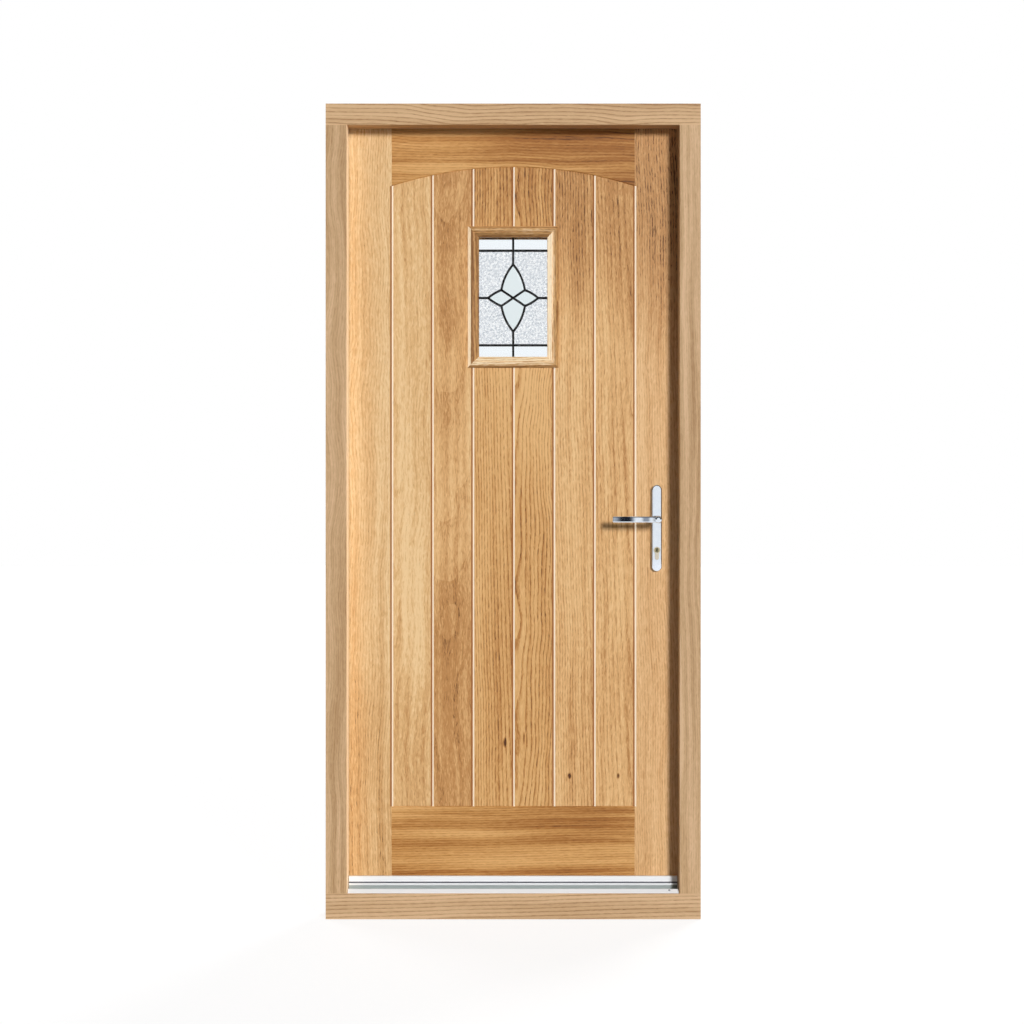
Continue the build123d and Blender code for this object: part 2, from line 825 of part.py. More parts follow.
def drive_strip():
    """Runs behind the faceplate, with a window for everything that passes through it."""
    body = block(strip_x, (lock_y[0] + case_gap, lock_y[1] - case_gap), strip_z)
    wide = bolt_thickness / 2 + hook_side_gap
    windows = [(*latch_opening(), wide), (*deadbolt_opening(), wide)]
    below, above = hook_sweep[0] + 2, hook_sweep[1] + 2
    windows += [(z - below, z + above, hook_thickness / 2 + hook_side_gap) for z in hook_centres]
    screw_z = cylinder_z - cylinder_screw_drop
    half = cylinder_screw_size[0] + 2 * case_gap
    windows.append((screw_z - half, screw_z + half, half))
    for z0, z1, half in windows:
        body -= block(strip_x, (mid_y - half, mid_y + half), (z0 - strip_travel - 1, z1 + 1))
    for z in hook_centres:
        beds, teeth = rack(z)
        body = body - beds + teeth
    return body


def lock_case():
    """A folded steel box, open where the bolts, the follower and the cylinder pass."""
    body = block(case_x, lock_y, case_z)
    inner_x = (case_x[0] + case_wall, case_x[1] - case_wall)
    inner_y = (lock_y[0] + case_wall, lock_y[1] - case_wall)
    body -= block(inner_x, inner_y, (case_z[0] + case_wall, case_z[1] - case_wall))
    across = (bolt_y[0] - bolt_slack, bolt_y[1] + bolt_slack)
    body -= block((inner_x[1], case_x[1]), across, latch_opening())
    body -= block((inner_x[1], case_x[1]), across, deadbolt_opening())
    body -= cross_rod(spindle_x, spindle_z, lock_y, follower_radius + journal_fit)
    body -= through_leaf(Pos(spindle_x, cylinder_z) * euro_profile(0.3), *lock_y)
    return body - cylinder_screw(0.3)


def hook_case(z):
    """A channel that is open towards the faceplate."""
    x0, x1 = hook_case_x()
    z0, z1 = hook_case_z(z)
    body = block((x0, x1), lock_y, (z0, z1))
    inner_y = (lock_y[0] + case_wall, lock_y[1] - case_wall)
    body -= block((x0 + case_wall, x1), inner_y, (z0 + case_wall, z1 - case_wall))
    return body - cross_rod(hook_x, z, lock_y, hook_pin_radius + 0.02)


def hook_pivot(z):
    return cross_rod(hook_x, z, lock_y, hook_pin_radius)


def tooth_half_width(radius):
    """Half of a pinion tooth's angle at a radius, by the involute of the pressure angle."""
    pressure = radians(pressure_angle)
    here = acos(min(1, pinion_radius * cos(pressure) / radius))
    at_pitch = (tooth_pitch / 2 - tooth_backlash) / (2 * pinion_radius)
    return at_pitch + (tan(pressure) - pressure) - (tan(here) - here)


def pinion():
    """A disc toothed only where it rolls on the rack, with a gap between two teeth on its +X side."""
    radii = (pinion_radius - tooth_root - 0.5, pinion_radius, pinion_radius + tooth_height)
    flank = [(r * cos(tooth_half_width(r)), r * sin(tooth_half_width(r))) for r in radii]
    tooth = outline([*flank, *[(x, -y) for x, y in reversed(flank)]])
    disc = Circle(pinion_radius - tooth_root)
    for number in range(-pinion_teeth // 4 - 2, 2):
        disc += Rot(0, 0, (number + 0.5) * 360 / pinion_teeth) * tooth
    return disc - Circle(hook_pin_radius + pin_fit)


def rack(z):
    """The strip's teeth beside a hook's window, and the bed that is cut for them."""
    half = tooth_pitch / 4 - tooth_backlash / 2
    slope = tan(radians(pressure_angle))
    tip, root = half - tooth_height * slope, half + tooth_root * slope
    x0, x1 = rack_line - tooth_height, rack_line + tooth_root
    teeth, beds = [], []
    inner = hook_thickness / 2 + hook_side_gap
    outer = hook_thickness / 2 + pinion_thickness
    for y0, y1 in ((mid_y - outer, mid_y - inner), (mid_y + inner, mid_y + outer)):
        travel_teeth = pinion_teeth // 4
        z0 = z - (travel_teeth + 1.5) * tooth_pitch
        beds.append(block((strip_x[0], x1), (y0 - 0.2, y1 + 0.2), (z0, z + 1.5 * tooth_pitch)))
        for number in range(-travel_teeth - 1, 2):
            middle = z + number * tooth_pitch
            shape = outline([
                (x1, middle - root), (x0, middle - tip), (x0, middle + tip), (x1, middle + root),
            ])
            teeth.append(through_leaf(shape, y0, y1))
    return beds, teeth


def hook(z):
    """Drawn thrown, as (out of the leaf, up), then turned down to where it rests."""
    reach, claw = hook_reach, hook_claw
    throat, top = reach - hook_tip, hook_arm - 3
    arm = outline([
        (0, -hook_arm), (reach - 4, -hook_arm), (reach, -4), (reach, claw - 3), (reach - 2.5, claw),
        (throat, claw), (throat, top + 1.5), (throat - 1.5, top), (0, top),
    ])
    flat = arm + Circle(hook_hub_radius) - Circle(hook_pin_radius + pin_fit)
    flat = Pos(hook_x, z) * Rot(0, 0, -90) * flat
    half = hook_thickness / 2
    body = through_leaf(flat, mid_y - half, mid_y + half)
    wheel = Pos(hook_x, z) * pinion()
    body += through_leaf(wheel, mid_y - half - pinion_thickness, mid_y - half)
    return body + through_leaf(wheel, mid_y + half, mid_y + half + pinion_thickness)


def latch_bolt():
    """A bevelled head on a tail whose claw hangs behind the follower's finger."""
    x_nose = leaf_x + latch_throw
    x_tail = spindle_x - latch_tail
    x_head = spindle_x + latch_shoulder
    claw_x = spindle_x - finger_width / 2 - 3 * running_gap
    step_z = latch_z[0] + latch_step
    claw_z = spindle_z + follower_radius + 4 * case_gap
    head = outline([
        (x_head, bolt_y[0]), (leaf_x, bolt_y[0]), (x_nose, bolt_y[1] - 2.5),
        (x_nose, bolt_y[1]), (x_head, bolt_y[1]),
    ])
    body = along_z(head, *latch_z)
    body += block((x_tail, x_head), bolt_y, (step_z, latch_z[1] - 2))
    return body + block((x_tail, claw_x), bolt_y, (claw_z, step_z))


def deadbolt():
    body = block((spindle_x + deadbolt_tail, leaf_x), bolt_y, deadbolt_z)
    return chamfer(body.faces().sort_by(Axis.X)[-1].edges(), deadbolt_chamfer)


def lock_follower():
    """A hub in the case's side holes, with a square hole and one finger."""
    square = spindle_side + 2 * spindle_slack
    hub = Circle(follower_radius) - Rectangle(square, square)
    body = through_leaf(Pos(spindle_x, spindle_z) * hub, lock_y[0] - 0.5, lock_y[1] + 0.5)
    x = (spindle_x - finger_width / 2, spindle_x + finger_width / 2)
    z = (spindle_z + follower_radius - 1, spindle_z + follower_finger)
    return body + block(x, bolt_y, z)


def euro_profile(slack=0):
    """The keyhole-shaped section of a euro cylinder, about the plug's centre."""
    wide, narrow = euro_head_radius + slack, euro_foot_radius + slack
    foot = euro_height - euro_head_radius - euro_foot_radius
    shape = Circle(wide) + Pos(0, -foot) * Circle(narrow)
    return shape + Pos(0, -foot / 2) * Rectangle(2 * narrow, foot)


def cylinder_y():
    """The cylinder ends a little proud of each handle plate."""
    proud = plate_thickness + cylinder_proud
    return (leaf_y[0] - proud, leaf_y[1] + proud)


def cylinder_body():
    """Bored for the plugs and cut away in the middle for the cam, down to a bridge."""
    body = through_leaf(Pos(spindle_x, cylinder_z) * euro_profile(), *cylinder_y())
    ends = cylinder_y()
    body -= cross_rod(spindle_x, cylinder_z, ends, plug_radius + plug_fit)
    half = cam_width / 2 + running_gap
    reach = cam_radius + running_gap
    cut_x, cut_z = (spindle_x - reach, spindle_x + reach), (cylinder_z - reach, cylinder_z + reach)
    body -= block(cut_x, (mid_y - half, mid_y + half), cut_z)
    return body - cylinder_screw(screw_slack)


def cylinder_plugs():
    """Outside plug, inside plug and the cam between them."""
    half = cam_width / 2
    width, height, depth = key_slot
    key_x = (spindle_x - width / 2, spindle_x + width / 2)
    key_z = (cylinder_z - 0.6 * height, cylinder_z + 0.4 * height)
    plugs = []
    for mouth, out in zip(cylinder_y(), (-1, 1)):
        plug = cross_rod(spindle_x, cylinder_z, sorted((mouth, mid_y + out * half)), plug_radius)
        plugs.append(plug - block(key_x, (mouth, mouth - out * depth), key_z))
    lobe = Circle(plug_radius + case_wall) + Pos(0, -cam_radius / 2) * Rectangle(spindle_side, cam_radius)
    lobe &= Circle(cam_radius)
    plugs.append(through_leaf(Pos(spindle_x, cylinder_z) * lobe, mid_y - half, mid_y + half))
    return plugs


# Keeps: steel plates let into the lock jamb, with holes for the latch, deadbolt and hooks


def keep_y():
    return (mid_y - keep_width / 2, mid_y + keep_width / 2)


def centre_keep_body():
    """Wider at the latch, where a lip leads it in over the jamb's inner arris."""
    x = (rebate_x, rebate_x + keep_thickness)
    body = block(x, keep_y(), (deadbolt_z[0] - keep_margin, latch_z[1] + keep_margin))
    lip = block(x, (mid_y, inside_y), (latch_z[0] - keep_lip_margin, latch_z[1] + keep_lip_margin))
    return body + lip


def centre_keep():
    body = centre_keep_body()
    lead_x, lead_y = rebate_x + 0.7 * keep_thickness, inside_y - 2 * keep_thickness
    lead = outline([(rebate_x, lead_y), (rebate_x, inside_y), (lead_x, inside_y)])
    body -= along_z(lead, *latch_z)
    across = (bolt_y[0] - keep_hole_slack, bolt_y[1] + keep_hole_slack)
    for z0, z1 in (latch_opening(1), deadbolt_opening(1)):
        body -= block((rebate_x, rebate_x + keep_thickness), across, (z0, z1))
    return body


def hook_keep_bodies():
    x = (rebate_x, rebate_x + keep_thickness)
    below, above = hook_keep_span
    return [block(x, keep_y(), (z - below, z + above)) for z in hook_centres]


def hook_keeps():
    x = (rebate_x, rebate_x + keep_thickness)
    across = (bolt_y[0] - keep_hole_slack, bolt_y[1] + keep_hole_slack)
    plates = zip(hook_centres, hook_keep_bodies())
    return [body - block(x, across, hook_keep_opening(z)) for z, body in plates]


# Handles: a long round-ended plate on each face, and a lever that turns in it


def handle_screw_z():
    return [plate_centre_z - handle_screw_spacing / 2, plate_centre_z + handle_screw_spacing / 2]


def plate_hollows():
    """The hollows in a plate's back, between the solid stretches round its four holes."""
    screws = handle_screw_z()
    round_screw = handle_screw[1] + plate_boss
    round_journal = journal_radius + plate_boss
    round_foot, round_head = euro_height - euro_head_radius + plate_boss, euro_head_radius + plate_boss
    spans = (
        (screws[0] + round_screw, cylinder_z - round_foot),
        (cylinder_z + round_head, spindle_z - round_journal),
        (spindle_z + round_journal, screws[1] - round_screw),
    )
    width = plate_width - 2 * plate_wall
    return [Pos(spindle_x, sum(span) / 2) * Rectangle(width, span[1] - span[0]) for span in spans]


def handle_plate(face_y):
    """A plate on the outside or the inside face of the leaf, rounded towards the hand."""
    out = -1 if face_y == leaf_y[0] else 1
    outer_y = face_y + out * plate_thickness
    slot = Pos(spindle_x, plate_centre_z) * SlotOverall(plate_height, plate_width, rotation=90)
    body = through_leaf(slot, face_y, outer_y)
    rim = body.faces().sort_by(Axis.Y)[0 if out < 0 else -1].edges()
    body = fillet(rim, plate_round)
    for hollow in plate_hollows():
        body -= through_leaf(hollow, face_y, outer_y - out * plate_wall)
    body -= cross_rod(spindle_x, spindle_z, (face_y, outer_y), journal_radius + journal_fit)
    body -= through_leaf(Pos(spindle_x, cylinder_z) * euro_profile(0.3), face_y, outer_y)
    return body - handle_screws(screw_slack)


def handle_screws(slack=0):
    """Their heads show inside; their ends are held in the outside plate."""
    head_y = leaf_y[1] + plate_thickness
    return [screw((spindle_x, head_y, z), (0, -1, 0), handle_screw, slack) for z in handle_screw_z()]


def lever(face_y):
    """Journal, round neck and a flat bar that swells out to a crest and falls back to its nose."""
    out = -1 if face_y == leaf_y[0] else 1
    plate_y = face_y + out * plate_thickness
    start_y = plate_y + out * running_gap
    root, crest, nose = lever_reach - lever_fall / 2, lever_reach, lever_reach - lever_fall

    def plan(along, reach):
        return (spindle_x - along, start_y + out * reach)

    front = ThreePointArc(plan(0, root), plan(lever_crest, crest), plan(lever_length, nose))
    back = ThreePointArc(
        plan(lever_length, nose - lever_depth),
        plan(lever_crest, crest - lever_depth),
        plan(0, root - lever_depth),
    )
    flat = make_face([front, Line(front @ 1, back @ 0), back, Line(back @ 1, front @ 0)])
    bar = along_z(flat, spindle_z - lever_height / 2, spindle_z + lever_height / 2)
    nose_rim = bar.faces().sort_by(Axis.X)[0].edges()
    bar = fillet([*bar.edges().filter_by(GeomType.CIRCLE), *nose_rim], lever_edge)
    neck = cross_rod(spindle_x, spindle_z, (start_y, start_y + out * lever_reach), neck_radius)
    neck_rim = neck.edges().filter_by(GeomType.CIRCLE).sort_by(Axis.Y)[0 if out < 0 else -1]
    inner_y = face_y + out * journal_end
    journal = cross_rod(spindle_x, spindle_z, (inner_y, start_y), journal_radius)
    half = spindle_side / 2 + spindle_slack
    across, up = (spindle_x - half, spindle_x + half), (spindle_z - half, spindle_z + half)
    body = bar + fillet(neck_rim, neck_round) + journal
    return body - block(across, (inner_y, plate_y + out * lever_bore), up)


def spindle():
    half = spindle_side / 2
    proud = plate_thickness + lever_bore - 1
    y = (leaf_y[0] - proud, leaf_y[1] + proud)
    return block((spindle_x - half, spindle_x + half), y, (spindle_z - half, spindle_z + half))


os.makedirs("parts", exist_ok=True)

save("frame_head", frame_head())
save("hinge_jamb", hinge_jamb())
save("lock_jamb", lock_jamb())
save("oak_sill", oak_sill())
save("threshold_bar", threshold_bar())
save("threshold_seal", threshold_seal())
save("head_seal", head_seal())
save("hinge_jamb_seal", jamb_seal(-1))
save("lock_jamb_seal", jamb_seal(1))

save("hinge_stile", hinge_stile())
save("lock_stile", lock_stile())
save("top_rail", top_rail())
save("bottom_rail", bottom_rail())
for number in range(board_count):
    save(f"board_{number + 1}", board(number))

for name, stick in beads(leaf_y[0], glazing_y[0]).items():
    save(f"outside_bead_{name}", stick)
save("inside_beads", list(beads(leaf_y[1], glazing_y[1]).values()))
save("outer_pane", pane(glazing_y[0], glazing_y[0] + pane_thickness))
save("inner_pane", pane(glazing_y[1] - pane_thickness, glazing_y[1]))
spacers = [
    spacer(glazing_y[0] + pane_thickness, panel_y[0]),
    spacer(panel_y[1], glazing_y[1] - pane_thickness),
]
save("spacer_bars", spacers)
save("came_lattice", came_lattice())
for name, pieces in panel_pieces().items():
    save(name, pieces)

save("hinge_jamb_flaps", [flap(z, -rebate_x - hinge_flap, -rebate_x, (0, 2, 4)) for z in hinge_centres])
save("hinge_leaf_flaps", [flap(z, -leaf_x + hinge_flap, -leaf_x, (1, 3)) for z in hinge_centres])
save("hinge_pins", [hinge_pin(z) for z in hinge_centres])

save("lock_faceplate", lock_faceplate())
save("cylinder_screw", cylinder_screw())
save("drive_strip", drive_strip())
save("lock_case", lock_case())
save("hook_cases", [hook_case(z) for z in hook_centres])
save("hook_pivots", [hook_pivot(z) for z in hook_centres])
save("bottom_hook", hook(hook_centres[0]))
save("top_hook", hook(hook_centres[1]))
save("latch_bolt", latch_bolt())
save("deadbolt", deadbolt())
save("lock_follower", lock_follower())
save("cylinder_body", cylinder_body())
save("cylinder_plugs", cylinder_plugs())
save("centre_keep", centre_keep())
for name, keep in zip(("bottom_hook_keep", "top_hook_keep"), hook_keeps()):
    save(name, keep)

save("outside_handle_plate", handle_plate(leaf_y[0]))
save("inside_handle_plate", handle_plate(leaf_y[1]))
save("handle_screws", handle_screws())
save("outside_lever", lever(leaf_y[0]))
save("inside_lever", lever(leaf_y[1]))
save("spindle", spindle())
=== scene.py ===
import json
import math

import bmesh
import bpy
from mathutils import Matrix, Vector

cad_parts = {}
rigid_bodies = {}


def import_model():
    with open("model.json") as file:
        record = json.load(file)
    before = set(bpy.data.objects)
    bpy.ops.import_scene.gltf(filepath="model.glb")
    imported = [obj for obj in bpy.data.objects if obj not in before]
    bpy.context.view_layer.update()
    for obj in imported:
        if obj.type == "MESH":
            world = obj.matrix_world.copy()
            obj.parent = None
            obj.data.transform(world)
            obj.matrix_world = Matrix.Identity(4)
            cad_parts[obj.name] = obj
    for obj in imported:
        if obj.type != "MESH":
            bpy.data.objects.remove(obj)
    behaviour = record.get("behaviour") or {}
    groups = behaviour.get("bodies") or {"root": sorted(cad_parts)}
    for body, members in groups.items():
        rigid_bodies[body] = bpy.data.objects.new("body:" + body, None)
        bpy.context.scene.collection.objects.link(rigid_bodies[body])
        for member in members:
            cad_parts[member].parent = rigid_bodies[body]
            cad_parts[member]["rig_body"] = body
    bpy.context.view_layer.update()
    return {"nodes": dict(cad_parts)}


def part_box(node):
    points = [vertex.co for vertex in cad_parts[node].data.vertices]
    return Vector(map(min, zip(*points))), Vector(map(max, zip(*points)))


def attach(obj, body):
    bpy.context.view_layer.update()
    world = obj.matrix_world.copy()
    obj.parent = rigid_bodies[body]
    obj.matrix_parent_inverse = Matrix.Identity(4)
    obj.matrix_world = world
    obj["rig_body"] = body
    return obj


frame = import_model()
nodes = frame["nodes"]


# Frame: four pieces of solid oak, the jambs tenoned into the head and the sill.
# They are planed, sanded and given one thin satin coat, so the pores stay open. The timber
# is plain sawn, a little greyer than the leaf's, and its grain runs along each piece.


class Wire:
    """One output of a node. Arithmetic on it adds the Math nodes that work it out."""

    def __init__(self, finish, socket):
        self.finish = finish
        self.socket = socket

    def __add__(self, other):
        return self.finish.maths("ADD", self, other)

    def __sub__(self, other):
        return self.finish.maths("SUBTRACT", self, other)

    def __rsub__(self, other):
        return self.finish.maths("SUBTRACT", other, self)

    def __mul__(self, other):
        return self.finish.maths("MULTIPLY", self, other)

    def __truediv__(self, other):
        return self.finish.maths("DIVIDE", self, other)

    def __pow__(self, other):
        return self.finish.maths("POWER", self, other)

    __radd__ = __add__
    __rmul__ = __mul__

    def wrapped(self):
        """What is over the last whole number."""
        return self.finish.maths("FRACT", self)

    def size(self):
        """The same without its minus sign."""
        return self.finish.maths("ABSOLUTE", self)

    def either(self, other):
        """1 where this or the other is 1."""
        return self.finish.maths("MAXIMUM", self, other)

    def clear_of(self, low, high):
        """0 below low, 1 above high and a soft step between them."""
        settings = {"interpolation_type": "SMOOTHSTEP"}
        return self.finish.add("MapRange", settings, {"Value": self, 1: low, 2: high})

    def between(self, low, high, soft):
        """1 from low to high, with a soft edge at each end."""
        return self.clear_of(low, low + soft) * (1 - self.clear_of(high - soft, high))


class Finish:
    """A material, or the world that holder is, with the nodes that colour it."""

    def __init__(self, name, holder=None):
        self.made = holder or bpy.data.materials.new(name)
        self.made.use_nodes = True
        self.tree = self.made.node_tree
        self.shader = self.tree.nodes.get("Principled BSDF")

    def add(self, kind, settings=None, inputs=None, output=0):
        """Makes a node and gives back one of its outputs. A ramp's stops are a setting too."""
        node = self.tree.nodes.new("ShaderNode" + kind)
        for key, value in (settings or {}).items():
            if key == "stops":
                self.lay_stops(node.color_ramp.elements, value)
            else:
                setattr(node, key, value)
        for key, value in (inputs or {}).items():
            self.feed(node.inputs[key], value)
        return Wire(self, node.outputs[output])

    def lay_stops(self, marks, stops):
        """Each stop is a place from 0 to 1 and its colour."""
        while len(marks) < len(stops):
            marks.new(1)
        for mark, (place, colour) in zip(marks, stops):
            mark.position = place
            mark.color = colour

    def feed(self, socket, value):
        if isinstance(value, Wire):
            self.tree.links.new(value.socket, socket)
        else:
            socket.default_value = value

    def set(self, **sockets):
        """Feeds the shader. In the name of a socket, _ stands for a space."""
        for key, value in sockets.items():
            self.feed(self.shader.inputs[key.replace("_", " ")], value)
        return self

    def maths(self, operation, *values):
        return self.add("Math", {"operation": operation}, dict(enumerate(values)))

    def mix(self, share, low, high):
        """Goes from one colour to another."""
        inputs = {0: share, 6: low, 7: high}
        return self.add("Mix", {"data_type": "RGBA"}, inputs, output=2)

    def ramp(self, share, stops):
        """Runs through the colours of the stops."""
        return self.add("ValToRGB", {"stops": stops}, {0: share})

    def here(self):
        """The point on the piece."""
        return self.add("TexCoord", output="Object")

    def split(self, point):
        """The x, y and z of a point."""
        node = self.add("SeparateXYZ", inputs={0: point}).socket.node
        return [Wire(self, socket) for socket in node.outputs]

    def place(self, move=(0, 0, 0), turn=(0, 0, 0), stretch=(1, 1, 1), of=None):
        """A point, or else the one on the piece, stretched, turned and moved."""
        inputs = {"Location": move, "Rotation": turn, "Scale": stretch}
        return self.add("Mapping", inputs={"Vector": of or self.here(), **inputs})

    def noise(self, waves, detail, roughness, distortion=0.0, of=None):
        """Soft random values about 0.5, with so many waves a metre along x, y and z."""
        inputs = {"Detail": detail, "Roughness": roughness, "Distortion": distortion}
        point = self.place(stretch=waves, of=of)
        return self.add("TexNoise", inputs={"Vector": point, "Scale": 1, **inputs})

    def bump(self, height, strength, depth):
        inputs = {"Height": height, "Strength": strength, "Distance": depth}
        return self.add("Bump", inputs=inputs)


def shade(red, green, blue):
    """A colour as it looks, from 0 to 255, in the shader's own units."""
    tint = []
    for part in (red / 255, green / 255, blue / 255):
        tint.append(part / 12.92 if part < 0.04 else ((part + 0.055) / 1.055) ** 2.4)
    return (*tint, 1)


def wear(name, finish):
    """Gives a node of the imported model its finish."""
    slots = nodes[name].data.materials
    if not slots:
        slots.append(finish.made)
    for number in range(len(slots)):
        slots[number] = finish.made


bend_waves, drift_waves, streak_waves = (4.5, 4.5, 2.6), (9, 9, 1.6), (70, 70, 1.6)
dash_waves, fibre_waves, pore_waves = (290, 290, 46), (700, 700, 60), (1300, 1300, 70)
log_step = 3.7
log_taper = 0.02
bent_rings = 4
even_tone = 0.46
knot_tone = 1.35
knot_brown, pore_brown = shade(84, 48, 22), shade(130, 86, 44)
satin = 0.46


def oak(name, shades, number, heart, across=False, rings=0.5, ring_width=0.006, sweep=0.05,
        cloud=0.72, dash=1.25, streaks=0.9, marks=(), painted_relief=None):
    """Plain sawn oak, for every number from another part of the log.

    heart is the log's middle, as a place across the piece and a depth behind its face.
    sweep is how far the grain wanders. rings, cloud, dash and streaks are how strongly the
    year rings, the broad shading, the short dark lines and the long ones show.
    Each mark is (x, z, half width, half height, strength): small for a knot, large for a darker
    patch of tone or of painted shade. The last argument, (axis, start, direction, width, steps),
    paints the slopes of a moulding paler or darker: painted light and shade.
    """
    wood = Finish(name)
    here = wood.here()
    lie = (0, -math.pi / 2, 0) if across else (0, 0, 0)
    log = wood.place((0, 0, number * log_step), lie, of=here)
    bend = wood.noise(bend_waves, 2, 0.5, of=log)
    side, behind, along = wood.split(log)
    side = side + (bend - 0.5) * sweep
    grain = wood.add("CombineXYZ", inputs={0: side, 1: behind, 2: along})

    off_heart, deep_in = side - heart[0], behind + heart[1]
    radius = (off_heart * off_heart + deep_in * deep_in) ** 0.5
    year = ((radius - along * log_taper) / ring_width + bend * bent_rings).wrapped()
    early = 1 - year.clear_of(0.05, 0.5)

    dashes = wood.noise(dash_waves, 2, 0.55, 1.0, of=grain)
    fibre = wood.noise(fibre_waves, 2, 0.6, of=grain)
    streak = wood.noise(streak_waves, 2, 0.5, of=grain)
    drift = wood.noise(drift_waves, 1, 0.5, of=log)
    tone = (dashes - 0.5) * dash + (fibre - 0.5) * 0.5 + (streak - 0.5) * streaks + even_tone
    tone = tone + (drift - 0.5) * cloud + (early - 0.35) * dashes * rings

    sides = wood.split(here)
    # The slopes of a moulding get painted light and shade by their place across it.
    if painted_relief:
        axis, start, direction, width, steps = painted_relief
        reach = (sides[axis] - start) * (direction / width)
        stops = [(place, (slope_light + 0.5, slope_light + 0.5, slope_light + 0.5, 1)) for place, slope_light in steps]
        tone = tone + (wood.ramp(reach, stops) - 0.5)
    for mark_x, mark_z, wide, tall, strength in marks:
        across_it, up_it = (sides[0] - mark_x) / wide, (sides[2] - mark_z) / tall
        away = (across_it * across_it + up_it * up_it).clear_of(0.0, 1.0)
        tone = tone + (1 - away) * strength

    pale, mid, deep = shades
    stops = ((0.15, pale), (0.5, mid), (0.9, deep), (1.0, deep), (knot_tone, knot_brown))
    stops = [(place / knot_tone, tint) for place, tint in stops]
    pores = wood.noise(pore_waves, 1, 0.5, of=grain).clear_of(0.60, 0.72) * (early * 0.7 + 0.3)
    wood.colour = wood.mix(pores * 0.4, wood.ramp(tone / knot_tone, stops), pore_brown)
    wood.set(Base_Color=wood.colour, Roughness=satin + pores * 0.25 + fibre * 0.08)
    wood.set(Specular_IOR_Level=0.25)
    wood.set(Normal=wood.bump(dashes * 0.5 + fibre * 0.4 - pores, 0.25, 0.0003))
    return wood


jamb_shades = (shade(220, 184, 144), shade(197, 161, 119), shade(168, 128, 86))
head_shades = (shade(218, 182, 140), shade(199, 161, 118), shade(170, 128, 86))
sill_shades = (shade(222, 186, 146), shade(203, 167, 126), shade(176, 136, 94))
upright = {"rings": 0.3, "cloud": 0.24, "dash": 0.6, "streaks": 1.3}
level = {"across": True, "rings": 1.0, "ring_width": 0.008, "cloud": 0.36, "dash": 0.6, "streaks": 1.0}
hinge_side = oak("oak_hinge_jamb", jamb_shades, 1, (-0.60, 0.05), **upright)
wear("hinge_jamb", hinge_side)
wear("lock_jamb", oak("oak_lock_jamb", jamb_shades, 2, (0.62, 0.06), **upright))
wear("frame_head", oak("oak_head", head_shades, 3, (-2.30, 0.22), **level))
wear("oak_sill", oak("oak_sill", sill_shades, 4, (0.14, 0.16), **level))

# The inner face of the hinge jamb is painted paler than its front: a painted highlight where the light
# catches the reveal.
reveal_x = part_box("hinge_jamb")[1].x
reveal_highlight_share = 0.8
lit_reveal_mask = hinge_side.split(hinge_side.here())[0].clear_of(reveal_x - 0.0008, reveal_x - 0.0003)
lit_reveal_colour = hinge_side.mix(lit_reveal_mask * reveal_highlight_share, hinge_side.colour, shade(244, 216, 178))
hinge_side.set(Base_Color=lit_reveal_colour)


# Leaf: two stiles and two rails, mortised and tenoned, around six tongued boards.
# Each stick was cut from another part of the log, so its colour and figure are its own, and
# all have the same satin finish. Each V joint's left wall is darkened with painted shade and
# its right wall paled with a painted highlight, as if lit from the left.

panel_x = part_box("lock_stile")[0].x
board_pitch = 2 * panel_x / 6
leaf_front, leaf_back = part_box("hinge_stile")[0].y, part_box("hinge_stile")[1].y
joint_width, joint_edge = 0.0046, 0.0003
skin_clear, skin_soft = 0.0002, 0.0006
joint_light_strength = 0.9


def jointed(wood):
    """Paints every V joint's left wall darker, a painted shade, and its right wall paler, a painted
    highlight, on both faces.
    """
    x, depth = wood.split(wood.here())[:2]
    cut = depth.between(leaf_front + skin_clear, leaf_back - skin_clear, skin_soft) * joint_light_strength
    past = (((x + panel_x) / board_pitch + 0.5).wrapped() - 0.5) * board_pitch
    # Painted shade on each joint's left wall, painted highlight on its right wall.
    left = cut * (0 - past).between(-0.0002, joint_width + 0.0002, joint_edge)
    right = cut * past.between(0.0002, joint_width + 0.0002, joint_edge)
    shaded_walls = wood.mix(left, wood.colour, shade(136, 86, 44))
    wood.set(Base_Color=wood.mix(right, shaded_walls, shade(255, 244, 220)))
    return wood


hinge_stile_shades = (shade(242, 208, 158), shade(227, 186, 132), shade(202, 154, 98))
lock_stile_shades = (shade(240, 198, 146), shade(224, 178, 124), shade(198, 146, 92))
# The lock stile's mark darkens its top, a painted shade over the top right of the leaf; the hinge
# stile's mark darkens its foot.
stiles = (
    ("hinge_stile", hinge_stile_shades, 5, (-0.52, 0.08), (-0.37, 0.25, 0.16, 0.45, 0.3)),
    ("lock_stile", lock_stile_shades, 6, (0.55, 0.07), (0.42, 1.95, 0.20, 0.62, 0.5)),
)
for name, shades, number, heart, darker_tone_or_shade in stiles:
    wood = oak("oak_" + name, shades, number, heart, cloud=0.48, marks=[darker_tone_or_shade])
    wear(name, jointed(wood))

rail_shades = (shade(226, 175, 112), shade(202, 148, 84), shade(162, 104, 46))
rails = {"across": True, "cloud": 1.44, "sweep": 0.03, "dash": 0.6, "streaks": 1.4}
# The top rail's mark darkens its right end, a painted shade at the top right of the leaf.
top_shade_marks = [(0.45, 1.9, 0.6, 0.3, 0.35)]
low_marks = [(0.0, 0.25, 0.5, 0.05, 0.25), (0.0, 0.09, 0.6, 0.05, 0.45)]
wear("top_rail", oak("oak_top_rail", rail_shades, 7, (-2.20, 0.20), marks=top_shade_marks, **rails))
wear("bottom_rail", oak("oak_bottom_rail", rail_shades, 8, (0.22, 0.10), marks=low_marks, **rails))

